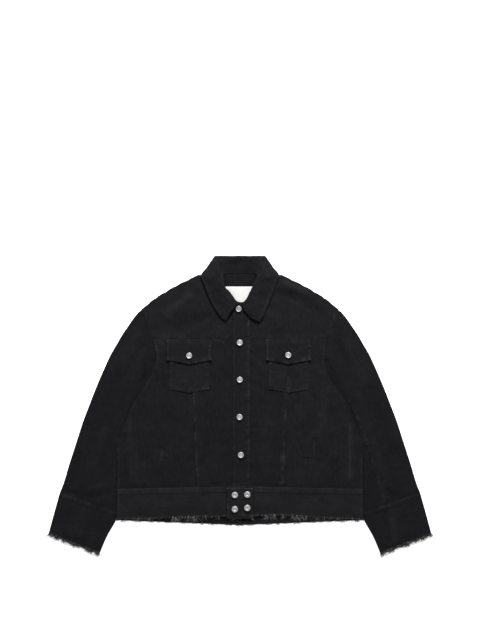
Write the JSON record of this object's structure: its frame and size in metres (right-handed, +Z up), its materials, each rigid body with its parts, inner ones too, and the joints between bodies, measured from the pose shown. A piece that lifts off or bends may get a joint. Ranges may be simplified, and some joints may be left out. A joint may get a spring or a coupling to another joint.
{
  "type": "denim jacket",
  "caption": "Boxy cropped black denim jacket laid flat: buttoned front, flap chest pockets, fold-over collar, deep cuffs and a waistband with frayed raw edges.",
  "frame": {"origin": "middle of the underside of the whole jacket, where it rests on a surface", "axes": "+Z up from the surface, +Y towards the collar, +X towards the sleeve at the right of the picture"},
  "size_m": [0.9404, 0.7387, 0.0205],
  "materials": {
    "denim_panel": "matte black twill",
    "denim_yoke": "matte black twill, slightly faded",
    "denim_sleeve": "matte black twill",
    "denim_band": "matte black twill, worn at the seams",
    "denim_collar": "matte black twill, worn at the edge",
    "frayed_edge": "loose frayed threads",
    "label_cloth": "smooth off-white satin weave",
    "button_metal": "brushed pewter"
  },
  "bodies": {
    "root": {"back_panel": "denim_panel", "back_yoke": "denim_yoke", "waistband_back": "denim_band", "front_yoke_l": "denim_yoke", "front_yoke_r": "denim_yoke", "front_side_l": "denim_panel", "front_side_r": "denim_panel", "front_centre_l": "denim_panel", "front_centre_r": "denim_panel", "waistband_l": "denim_band", "waistband_r": "denim_band", "waistband_tab": "denim_band", "placket": "denim_yoke", "neck_label": "label_cloth", "pocket_patch_l": "denim_panel", "pocket_patch_r": "denim_panel", "pocket_flap_l": "denim_yoke", "pocket_flap_r": "denim_yoke", "sleeve_upper_l": "denim_sleeve", "sleeve_upper_r": "denim_sleeve", "sleeve_under_l": "denim_sleeve", "sleeve_under_r": "denim_sleeve", "cuff_upper_l": "denim_sleeve", "cuff_upper_r": "denim_sleeve", "cuff_under_l": "denim_sleeve", "cuff_under_r": "denim_sleeve", "collar_stand": "denim_collar", "collar_leaf": "denim_collar", "button_1": "button_metal", "button_2": "button_metal", "button_3": "button_metal", "button_4": "button_metal", "button_5": "button_metal", "pocket_button_l": "button_metal", "pocket_button_r": "button_metal", "snap_1": "button_metal", "snap_2": "button_metal", "snap_3": "button_metal", "snap_4": "button_metal", "fringe_hem_front_l": "frayed_edge", "fringe_hem_front_r": "frayed_edge", "fringe_hem_back_l": "frayed_edge", "fringe_hem_back_r": "frayed_edge", "fringe_cuff_l": "frayed_edge", "fringe_cuff_r": "frayed_edge"}
  },
  "joints": []
}
